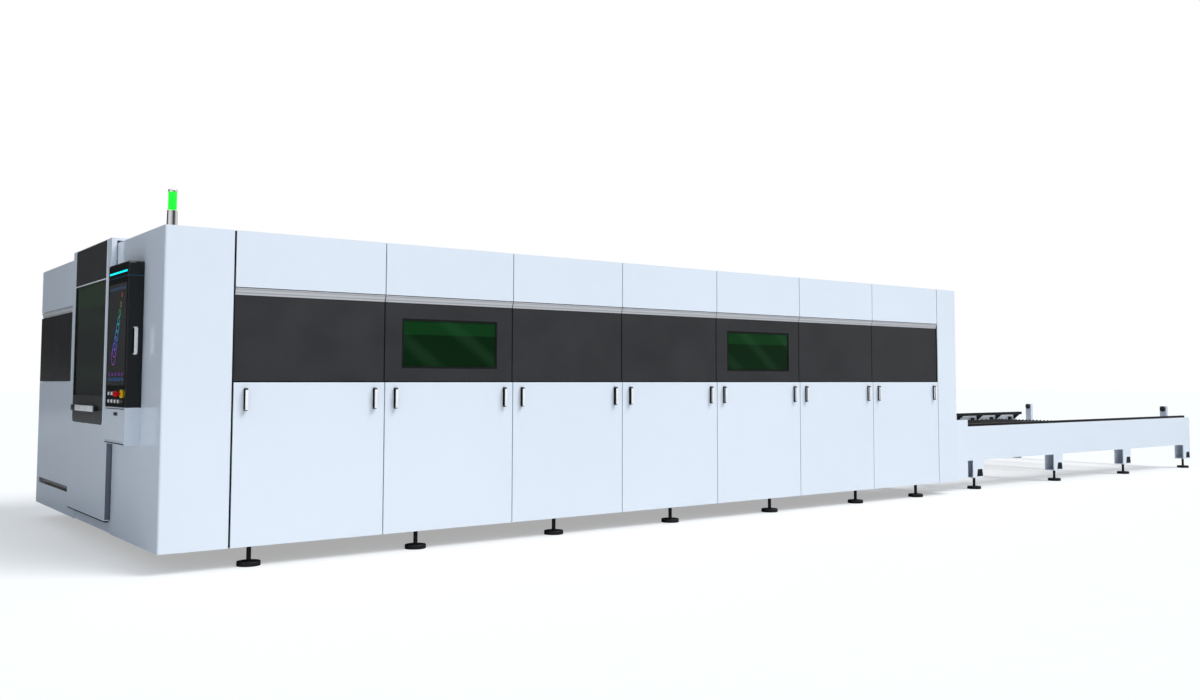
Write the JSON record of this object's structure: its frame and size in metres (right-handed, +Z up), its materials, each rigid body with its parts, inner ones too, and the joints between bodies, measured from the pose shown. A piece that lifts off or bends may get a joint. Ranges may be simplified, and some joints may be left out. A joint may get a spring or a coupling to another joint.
{
  "type": "fiber laser cutting machine",
  "caption": "Long enclosed sheet-metal laser cutter with a sliding operator door, a wall console, a travelling gantry head and a shuttle table with exchange pallets behind it.",
  "frame": {"origin": "on the floor under the middle of the whole machine", "axes": "+X from the operator end to the shuttle table, -Y to the side with the windows, +Z up"},
  "size_m": [15.86, 4.54, 2.755],
  "materials": {
    "white_paint": "smooth glossy powder coat",
    "charcoal_paint": "satin",
    "satin_trim": "satin brushed",
    "black_gloss": "gloss",
    "tinted_glass": "dark green laser-safe glass",
    "polished_metal": "polished",
    "frame_paint": "satin grey",
    "guide_steel": "ground",
    "black_steel": "satin black",
    "pallet_steel": "dark mill scale",
    "drive_paint": "satin",
    "screen_glass": "gloss",
    "cyan_light": "lit",
    "green_lens": "lit",
    "button_metal": "satin",
    "yellow_plastic": "gloss",
    "red_plastic": "gloss",
    "buffer_rubber": "matte",
    "head_metal": "anodised",
    "nozzle_brass": "turned"
  },
  "bodies": {
    "housing": {"corner_sheets": "white_paint", "access_panels": "white_paint", "upper_panels": "white_paint", "roof_panels": "white_paint", "rear_wall": "white_paint", "front_panels": "white_paint", "console_base": "white_paint", "table_side_plates": "white_paint", "table_legs": "white_paint", "cross_beams": "white_paint", "end_stop_posts": "white_paint", "band_panels": "charcoal_paint", "trim_strips": "satin_trim", "window_frames": "black_gloss", "console_shell": "black_gloss", "window_glass": "tinted_glass", "access_handles": "polished_metal", "console_handle": "polished_metal", "tower_light_base": "polished_metal", "housing_frame": "frame_paint", "door_portal": "frame_paint", "bed_beams": "frame_paint", "power_cabinets": "frame_paint", "door_rails": "guide_steel", "x_guide_rails": "guide_steel", "pallet_rails": "black_steel", "rail_gussets": "black_steel", "guide_rollers": "black_steel", "levelling_feet": "black_steel", "leg_inserts": "black_steel", "pallet_drive": "drive_paint", "console_screen": "screen_glass", "console_light_bar": "cyan_light", "tower_light_lens": "green_lens", "estop_collar": "yellow_plastic", "end_stop_buffers": "buffer_rubber"},
    "door": {"door_leaf": "white_paint", "door_panel": "black_gloss", "door_window": "tinted_glass", "door_handle": "polished_metal"},
    "gantry": {"gantry_beam": "frame_paint", "gantry_carriages": "drive_paint", "y_guide_rails": "guide_steel"},
    "head_carriage": {"head_carriage": "head_metal"},
    "cutting_head": {"cutting_head": "head_metal", "nozzle": "nozzle_brass"},
    "upper_pallet": {"upper_pallet_frame": "pallet_steel", "upper_pallet_slats": "pallet_steel"},
    "lower_pallet": {"lower_pallet_frame": "pallet_steel", "lower_pallet_slats": "pallet_steel"},
    "console_flap": {"console_flap": "white_paint"},
    "estop": {"estop_button": "red_plastic"},
    "button_1": {"push_button_1": "button_metal"},
    "button_2": {"push_button_2": "button_metal"},
    "button_3": {"push_button_3": "button_metal"},
    "button_4": {"push_button_4": "button_metal"},
    "button_5": {"push_button_5": "button_metal"},
    "button_6": {"push_button_6": "button_metal"},
    "button_7": {"push_button_7": "button_metal"}
  },
  "joints": [
    {"name": "door_slide", "type": "slide", "parent": "housing", "child": "door", "axis": [0, 1, 0], "range_m": [0, 1.25]},
    {"name": "gantry_travel", "type": "slide", "parent": "housing", "child": "gantry", "axis": [1, 0, 0], "range_m": [0, 6.35]},
    {"name": "head_cross_travel", "type": "slide", "parent": "gantry", "child": "head_carriage", "axis": [0, 1, 0], "range_m": [-1.23, 1.23]},
    {"name": "head_lift", "type": "slide", "parent": "head_carriage", "child": "cutting_head", "axis": [0, 0, 1], "range_m": [-0.23, 0]},
    {"name": "upper_pallet_travel", "type": "slide", "parent": "housing", "child": "upper_pallet", "axis": [1, 0, 0], "range_m": [0, 7]},
    {"name": "lower_pallet_travel", "type": "slide", "parent": "housing", "child": "lower_pallet", "axis": [1, 0, 0], "range_m": [-7, 0]},
    {"name": "console_flap_hinge", "type": "hinge", "parent": "housing", "child": "console_flap", "pos_m": [-7.872, -1.401, 0.919], "axis": [0, -1, 0], "range_deg": [0, 95]},
    {"name": "estop_press", "type": "slide", "parent": "housing", "child": "estop", "axis": [1, 0, 0], "range_m": [0, 0.008], "stiffness_N_per_m": 2500},
    {"name": "button_1_press", "type": "slide", "parent": "housing", "child": "button_1", "axis": [1, 0, 0], "range_m": [0, 0.004], "stiffness_N_per_m": 800},
    {"name": "button_2_press", "type": "slide", "parent": "housing", "child": "button_2", "axis": [1, 0, 0], "range_m": [0, 0.004], "stiffness_N_per_m": 800},
    {"name": "button_3_press", "type": "slide", "parent": "housing", "child": "button_3", "axis": [1, 0, 0], "range_m": [0, 0.004], "stiffness_N_per_m": 800},
    {"name": "button_4_press", "type": "slide", "parent": "housing", "child": "button_4", "axis": [1, 0, 0], "range_m": [0, 0.004], "stiffness_N_per_m": 800},
    {"name": "button_5_press", "type": "slide", "parent": "housing", "child": "button_5", "axis": [1, 0, 0], "range_m": [0, 0.004], "stiffness_N_per_m": 800},
    {"name": "button_6_press", "type": "slide", "parent": "housing", "child": "button_6", "axis": [1, 0, 0], "range_m": [0, 0.004], "stiffness_N_per_m": 800},
    {"name": "button_7_press", "type": "slide", "parent": "housing", "child": "button_7", "axis": [1, 0, 0], "range_m": [0, 0.004], "stiffness_N_per_m": 800}
  ],
  "couplings": [
    {"joint": "lower_pallet_travel", "follows": "upper_pallet_travel", "ratio": -1}
  ]
}
